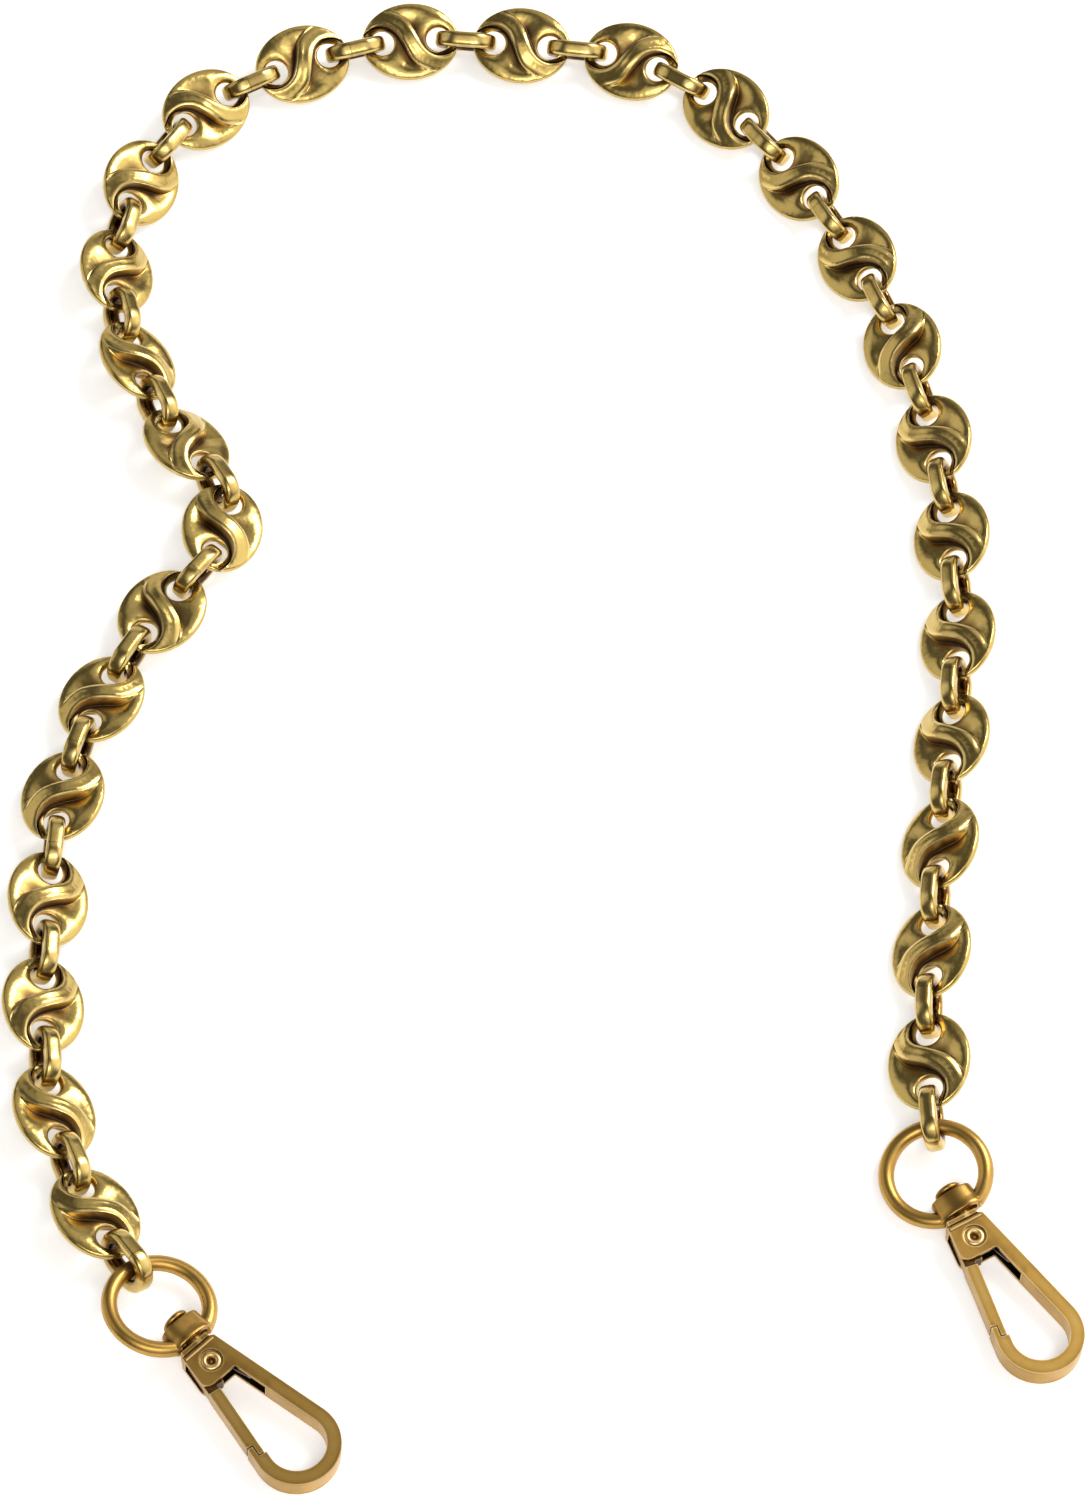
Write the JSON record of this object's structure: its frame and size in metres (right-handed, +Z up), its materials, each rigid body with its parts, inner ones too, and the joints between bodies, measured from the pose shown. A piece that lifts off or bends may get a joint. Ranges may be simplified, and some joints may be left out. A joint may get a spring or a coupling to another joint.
{
  "type": "pocket watch chain",
  "caption": "Chain of oval puffed links with an S scroll relief on oval jump rings, with a swivel snap hook at each end, laid in an open loop.",
  "frame": {"origin": "middle of the underside of the whole chain's box as it lies, on the surface it lies on", "axes": "+Z up from the surface; +Y from the two snap hooks towards the closed end of the loop; +X from hook a's side of the loop to hook b's side"},
  "size_m": [0.1678, 0.2826, 0.0082],
  "materials": {
    "polished_brass": "antique brass, polished on the raised parts, dark in the recesses",
    "antique_brass": "satin antique brass, browner than the links",
    "spring_steel": "plain drawn wire"
  },
  "bodies": {
    "jump_ring_01": {"jump_ring_01": "polished_brass"},
    "puffed_link_01": {"puffed_link_01": "polished_brass"},
    "jump_ring_02": {"jump_ring_02": "polished_brass"},
    "puffed_link_02": {"puffed_link_02": "polished_brass"},
    "puffed_link_03_with_ring": {"puffed_link_03_with_ring": "polished_brass"},
    "jump_ring_04": {"jump_ring_04": "polished_brass"},
    "puffed_link_04": {"puffed_link_04": "polished_brass"},
    "jump_ring_05": {"jump_ring_05": "polished_brass"},
    "puffed_link_05": {"puffed_link_05": "polished_brass"},
    "puffed_link_06_with_ring": {"puffed_link_06_with_ring": "polished_brass"},
    "jump_ring_07": {"jump_ring_07": "polished_brass"},
    "puffed_link_07": {"puffed_link_07": "polished_brass"},
    "jump_ring_08": {"jump_ring_08": "polished_brass"},
    "puffed_link_08": {"puffed_link_08": "polished_brass"},
    "puffed_link_09_with_ring": {"puffed_link_09_with_ring": "polished_brass"},
    "jump_ring_10": {"jump_ring_10": "polished_brass"},
    "puffed_link_10": {"puffed_link_10": "polished_brass"},
    "jump_ring_11": {"jump_ring_11": "polished_brass"},
    "puffed_link_11": {"puffed_link_11": "polished_brass"},
    "puffed_link_12_with_ring": {"puffed_link_12_with_ring": "polished_brass"},
    "jump_ring_13": {"jump_ring_13": "polished_brass"},
    "puffed_link_13": {"puffed_link_13": "polished_brass"},
    "jump_ring_14": {"jump_ring_14": "polished_brass"},
    "puffed_link_14": {"puffed_link_14": "polished_brass"},
    "puffed_link_15_with_ring": {"puffed_link_15_with_ring": "polished_brass"},
    "jump_ring_16": {"jump_ring_16": "polished_brass"},
    "puffed_link_16": {"puffed_link_16": "polished_brass"},
    "jump_ring_17": {"jump_ring_17": "polished_brass"},
    "puffed_link_17": {"puffed_link_17": "polished_brass"},
    "puffed_link_18_with_ring": {"puffed_link_18_with_ring": "polished_brass"},
    "jump_ring_19": {"jump_ring_19": "polished_brass"},
    "puffed_link_19": {"puffed_link_19": "polished_brass"},
    "jump_ring_20": {"jump_ring_20": "polished_brass"},
    "puffed_link_20": {"puffed_link_20": "polished_brass"},
    "puffed_link_21_with_ring": {"puffed_link_21_with_ring": "polished_brass"},
    "jump_ring_22": {"jump_ring_22": "polished_brass"},
    "puffed_link_22": {"puffed_link_22": "polished_brass"},
    "jump_ring_23": {"jump_ring_23": "polished_brass"},
    "puffed_link_23": {"puffed_link_23": "polished_brass"},
    "puffed_link_24_with_ring": {"puffed_link_24_with_ring": "polished_brass"},
    "jump_ring_25": {"jump_ring_25": "polished_brass"},
    "puffed_link_25": {"puffed_link_25": "polished_brass"},
    "jump_ring_26": {"jump_ring_26": "polished_brass"},
    "puffed_link_26": {"puffed_link_26": "polished_brass"},
    "puffed_link_27_with_ring": {"puffed_link_27_with_ring": "polished_brass"},
    "jump_ring_28": {"jump_ring_28": "polished_brass"},
    "puffed_link_28": {"puffed_link_28": "polished_brass"},
    "jump_ring_29": {"jump_ring_29": "polished_brass"},
    "eye_a": {"swivel_eye_a": "antique_brass"},
    "hook_a": {"swivel_post_a": "antique_brass", "hook_body_a": "antique_brass", "gate_pin_a": "antique_brass", "gate_spring_a": "spring_steel"},
    "gate_a": {"hook_gate_a": "antique_brass"},
    "eye_b": {"swivel_eye_b": "antique_brass"},
    "hook_b": {"swivel_post_b": "antique_brass", "hook_body_b": "antique_brass", "gate_pin_b": "antique_brass", "gate_spring_b": "spring_steel"},
    "gate_b": {"hook_gate_b": "antique_brass"}
  },
  "joints": [
    {"name": "ring_02_tilt", "type": "hinge", "parent": "jump_ring_02", "child": "puffed_link_01", "pos_m": [-0.07134, -0.08913, 0.00425], "axis": [-0.8333, -0.4584, 0.309], "range_deg": [-25, 25]},
    {"name": "ring_03_tilt", "type": "hinge", "parent": "puffed_link_03_with_ring", "child": "puffed_link_02", "pos_m": [-0.07671, -0.07061, 0.00425], "axis": [0.8843, 0.2294, -0.4067], "range_deg": [-25, 25]},
    {"name": "ring_04_tilt", "type": "hinge", "parent": "jump_ring_04", "child": "puffed_link_03_with_ring", "pos_m": [-0.0778, -0.05131, 0.00425], "axis": [-0.9257, -0.0521, 0.3746], "range_deg": [-25, 25]},
    {"name": "ring_05_tilt", "type": "hinge", "parent": "jump_ring_05", "child": "puffed_link_04", "pos_m": [-0.0773, -0.03198, 0.00425], "axis": [0.9132, -0.0248, -0.4067], "range_deg": [-25, 25]},
    {"name": "ring_06_tilt", "type": "hinge", "parent": "puffed_link_06_with_ring", "child": "puffed_link_05", "pos_m": [-0.07468, -0.01282, 0.00425], "axis": [-0.9801, 0.1688, -0.1045], "range_deg": [-25, 25]},
    {"name": "ring_07_tilt", "type": "hinge", "parent": "jump_ring_07", "child": "puffed_link_06_with_ring", "pos_m": [-0.06754, 0.00522, 0.00425], "axis": [0.9209, -0.3836, 0.0698], "range_deg": [-25, 25]},
    {"name": "ring_08_tilt", "type": "hinge", "parent": "jump_ring_08", "child": "puffed_link_07", "pos_m": [-0.05706, 0.02159, 0.00425], "axis": [-0.8381, 0.5445, 0.0349], "range_deg": [-25, 25]},
    {"name": "ring_09_tilt", "type": "hinge", "parent": "puffed_link_09_with_ring", "child": "puffed_link_08", "pos_m": [-0.05018, 0.03932, 0.00425], "axis": [0.9371, -0.2142, -0.2756], "range_deg": [-22, 22]},
    {"name": "ring_10_tilt", "type": "hinge", "parent": "jump_ring_10", "child": "puffed_link_09_with_ring", "pos_m": [-0.06317, 0.05492, 0.00425], "axis": [-0.7561, -0.577, 0.309], "range_deg": [-25, 25]},
    {"name": "ring_11_tilt", "type": "hinge", "parent": "jump_ring_11", "child": "puffed_link_10", "pos_m": [-0.06998, 0.07327, 0.00425], "axis": [0.8288, 0.3044, -0.4695], "range_deg": [-25, 25]},
    {"name": "ring_12_tilt", "type": "hinge", "parent": "puffed_link_12_with_ring", "child": "puffed_link_11", "pos_m": [-0.0719, 0.09264, 0.00425], "axis": [-0.8823, -0.0344, 0.4695], "range_deg": [-25, 25]},
    {"name": "ring_13_tilt", "type": "hinge", "parent": "jump_ring_13", "child": "puffed_link_12_with_ring", "pos_m": [-0.06522, 0.11108, 0.00425], "axis": [0.7866, -0.3168, -0.5299], "range_deg": [-25, 25]},
    {"name": "ring_14_tilt", "type": "hinge", "parent": "jump_ring_14", "child": "puffed_link_13", "pos_m": [-0.05177, 0.1253, 0.00425], "axis": [-0.6152, 0.6553, 0.4384], "range_deg": [-25, 25]},
    {"name": "ring_15_tilt", "type": "hinge", "parent": "puffed_link_14", "child": "puffed_link_15_with_ring", "pos_m": [-0.03366, 0.13305, 0.00425], "axis": [0.3413, -0.8143, -0.4695], "range_deg": [-25, 25]},
    {"name": "ring_16_tilt", "type": "hinge", "parent": "puffed_link_15_with_ring", "child": "jump_ring_16", "pos_m": [-0.01424, 0.13584, 0.00425], "axis": [-0.0834, 0.879, 0.4695], "range_deg": [-25, 25]},
    {"name": "ring_17_tilt", "type": "hinge", "parent": "puffed_link_16", "child": "jump_ring_17", "pos_m": [0.00532, 0.1334, 0.00425], "axis": [-0.0973, -0.9083, -0.4067], "range_deg": [-25, 25]},
    {"name": "ring_18_tilt", "type": "hinge", "parent": "puffed_link_17", "child": "puffed_link_18_with_ring", "pos_m": [0.02412, 0.1279, 0.00425], "axis": [0.3092, 0.827, 0.4695], "range_deg": [-25, 25]},
    {"name": "ring_19_tilt", "type": "hinge", "parent": "puffed_link_18_with_ring", "child": "jump_ring_19", "pos_m": [0.03894, 0.11479, 0.00425], "axis": [-0.6155, -0.655, -0.4384], "range_deg": [-25, 25]},
    {"name": "ring_20_tilt", "type": "hinge", "parent": "puffed_link_19", "child": "jump_ring_20", "pos_m": [0.04989, 0.0983, 0.00425], "axis": [0.7243, 0.4748, 0.5], "range_deg": [-25, 25]},
    {"name": "ring_21_tilt", "type": "hinge", "parent": "puffed_link_20", "child": "puffed_link_21_with_ring", "pos_m": [0.05845, 0.08046, 0.00425], "axis": [-0.8151, -0.3787, -0.4384], "range_deg": [-25, 25]},
    {"name": "ring_22_tilt", "type": "hinge", "parent": "puffed_link_21_with_ring", "child": "jump_ring_22", "pos_m": [0.0646, 0.06163, 0.00425], "axis": [0.8725, 0.2708, 0.4067], "range_deg": [-25, 25]},
    {"name": "ring_23_tilt", "type": "hinge", "parent": "puffed_link_22", "child": "jump_ring_23", "pos_m": [0.06826, 0.04213, 0.00425], "axis": [-0.8778, -0.1529, -0.454], "range_deg": [-25, 25]},
    {"name": "ring_24_tilt", "type": "hinge", "parent": "puffed_link_23", "child": "puffed_link_24_with_ring", "pos_m": [0.06968, 0.02231, 0.00425], "axis": [0.8892, 0.0567, 0.454], "range_deg": [-25, 25]},
    {"name": "ring_25_tilt", "type": "hinge", "parent": "puffed_link_24_with_ring", "child": "jump_ring_25", "pos_m": [0.06911, 0.00243, 0.00425], "axis": [-0.8738, 0.0378, -0.4848], "range_deg": [-25, 25]},
    {"name": "ring_26_tilt", "type": "hinge", "parent": "puffed_link_25", "child": "jump_ring_26", "pos_m": [0.06673, -0.01736, 0.00425], "axis": [0.8683, -0.1052, 0.4848], "range_deg": [-25, 25]},
    {"name": "ring_27_tilt", "type": "hinge", "parent": "puffed_link_26", "child": "puffed_link_27_with_ring", "pos_m": [0.06412, -0.03713, 0.00425], "axis": [-0.8763, 0.108, -0.4695], "range_deg": [-25, 25]},
    {"name": "ring_28_tilt", "type": "hinge", "parent": "puffed_link_27_with_ring", "child": "jump_ring_28", "pos_m": [0.06232, -0.05703, 0.00425], "axis": [0.8878, -0.0759, 0.454], "range_deg": [-25, 25]},
    {"name": "ring_29_tilt", "type": "hinge", "parent": "puffed_link_28", "child": "jump_ring_29", "pos_m": [0.06179, -0.07703, 0.00425], "axis": [-0.9271, 0.0107, -0.3746], "range_deg": [-25, 25]},
    {"name": "link_01_turn", "type": "hinge", "parent": "puffed_link_01", "child": "jump_ring_01", "pos_m": [-0.06505, -0.10057, 0.00425], "axis": [-0.2701, -0.2098, -0.9397], "range_deg": [-20, 20]},
    {"name": "link_02_turn", "type": "hinge", "parent": "puffed_link_02", "child": "jump_ring_02", "pos_m": [-0.07343, -0.08326, 0.00425], "axis": [0.3574, 0.1462, 0.9224], "range_deg": [-20, 20]},
    {"name": "link_04_turn", "type": "hinge", "parent": "puffed_link_04", "child": "jump_ring_04", "pos_m": [-0.07765, -0.04507, 0.00425], "axis": [0.409, -0.0005, 0.9125], "range_deg": [-20, 20]},
    {"name": "link_05_turn", "type": "hinge", "parent": "puffed_link_05", "child": "jump_ring_05", "pos_m": [-0.07691, -0.02574, 0.00425], "axis": [-0.171, 0.0089, -0.9852], "range_deg": [-20, 20]},
    {"name": "link_07_turn", "type": "hinge", "parent": "puffed_link_07", "child": "jump_ring_07", "pos_m": [-0.06422, 0.01057, 0.00425], "axis": [0.0109, -0.0061, -0.9999], "range_deg": [-20, 20]},
    {"name": "link_08_turn", "type": "hinge", "parent": "puffed_link_08", "child": "jump_ring_08", "pos_m": [-0.05311, 0.0265, 0.00425], "axis": [0.1246, -0.0945, 0.9877], "range_deg": [-20, 20]},
    {"name": "link_10_turn", "type": "hinge", "parent": "puffed_link_10", "child": "jump_ring_10", "pos_m": [-0.06544, 0.06089, 0.00425], "axis": [0.345, 0.1629, 0.9244], "range_deg": [-20, 20]},
    {"name": "link_11_turn", "type": "hinge", "parent": "puffed_link_11", "child": "jump_ring_11", "pos_m": [-0.07139, 0.07946, 0.00425], "axis": [-0.4411, -0.1166, -0.8899], "range_deg": [-20, 20]},
    {"name": "link_13_turn", "type": "hinge", "parent": "puffed_link_13", "child": "jump_ring_13", "pos_m": [-0.06141, 0.11624, 0.00425], "axis": [-0.39, 0.2492, -0.8864], "range_deg": [-20, 20]},
    {"name": "link_14_turn", "type": "hinge", "parent": "puffed_link_14", "child": "jump_ring_14", "pos_m": [-0.04586, 0.12793, 0.00425], "axis": [0.2076, -0.3733, 0.9042], "range_deg": [-20, 20]},
    {"name": "link_16_turn", "type": "hinge", "parent": "jump_ring_16", "child": "puffed_link_16", "pos_m": [-0.00787, 0.13481, 0.00425], "axis": [-0.0376, -0.4004, 0.9156], "range_deg": [-20, 20]},
    {"name": "link_17_turn", "type": "hinge", "parent": "jump_ring_17", "child": "puffed_link_17", "pos_m": [0.01168, 0.13255, 0.00425], "axis": [0.0497, 0.3945, -0.9176], "range_deg": [-20, 20]},
    {"name": "link_19_turn", "type": "hinge", "parent": "jump_ring_19", "child": "puffed_link_19", "pos_m": [0.04259, 0.10943, 0.00425], "axis": [0.3334, 0.256, -0.9074], "range_deg": [-20, 20]},
    {"name": "link_20_turn", "type": "hinge", "parent": "jump_ring_20", "child": "puffed_link_20", "pos_m": [0.05283, 0.09254, 0.00425], "axis": [-0.3648, -0.1995, 0.9094], "range_deg": [-20, 20]},
    {"name": "link_22_turn", "type": "hinge", "parent": "jump_ring_22", "child": "puffed_link_22", "pos_m": [0.06596, 0.05528, 0.00425], "axis": [-0.3565, -0.0852, 0.9304], "range_deg": [-20, 20]},
    {"name": "link_23_turn", "type": "hinge", "parent": "jump_ring_23", "child": "puffed_link_23", "pos_m": [0.06883, 0.03565, 0.00425], "axis": [0.3838, 0.0423, -0.9224], "range_deg": [-20, 20]},
    {"name": "link_25_turn", "type": "hinge", "parent": "jump_ring_25", "child": "puffed_link_25", "pos_m": [0.06834, -0.00406, 0.00425], "axis": [0.407, -0.0405, -0.9125], "range_deg": [-20, 20]},
    {"name": "link_26_turn", "type": "hinge", "parent": "jump_ring_26", "child": "puffed_link_26", "pos_m": [0.06576, -0.02383, 0.00425], "axis": [-0.3925, 0.056, 0.9181], "range_deg": [-20, 20]},
    {"name": "link_28_turn", "type": "hinge", "parent": "jump_ring_28", "child": "puffed_link_28", "pos_m": [0.06195, -0.06359, 0.00425], "axis": [-0.3214, 0.0205, 0.9467], "range_deg": [-20, 20]},
    {"name": "eye_a_tilt", "type": "hinge", "parent": "jump_ring_01", "child": "eye_a", "pos_m": [-0.06143, -0.10523, 0.00425], "axis": [0.8102, 0.5454, -0.2146], "range_deg": [-40, 40]},
    {"name": "hook_a_swivel", "type": "hinge", "parent": "eye_a", "child": "hook_a", "pos_m": [-0.05286, -0.11602, 0.00377], "axis": [0.6998, -0.7121, -0.057], "continuous": true},
    {"name": "gate_a_open", "type": "hinge", "parent": "hook_a", "child": "gate_a", "pos_m": [-0.04895, -0.12128, 0.0034], "axis": [0.04, -0.0407, 0.9984], "range_deg": [0, 25], "stiffness_Nm_per_rad": 0.004, "springref_deg": -68.75, "deforming": ["gate_spring_a"]},
    {"name": "eye_b_tilt", "type": "hinge", "parent": "jump_ring_29", "child": "eye_b", "pos_m": [0.06202, -0.08081, 0.00425], "axis": [0.9858, 0.0114, 0.1673], "range_deg": [-40, 40]},
    {"name": "hook_b_swivel", "type": "hinge", "parent": "eye_b", "child": "hook_b", "pos_m": [0.06528, -0.0938, 0.00305], "axis": [0.4921, -0.8698, -0.0343], "continuous": true},
    {"name": "gate_b_open", "type": "hinge", "parent": "hook_b", "child": "gate_b", "pos_m": [0.06769, -0.09989, 0.00282], "axis": [0.0169, -0.0299, 0.9994], "range_deg": [0, 25], "stiffness_Nm_per_rad": 0.004, "springref_deg": -68.75, "deforming": ["gate_spring_b"]}
  ]
}
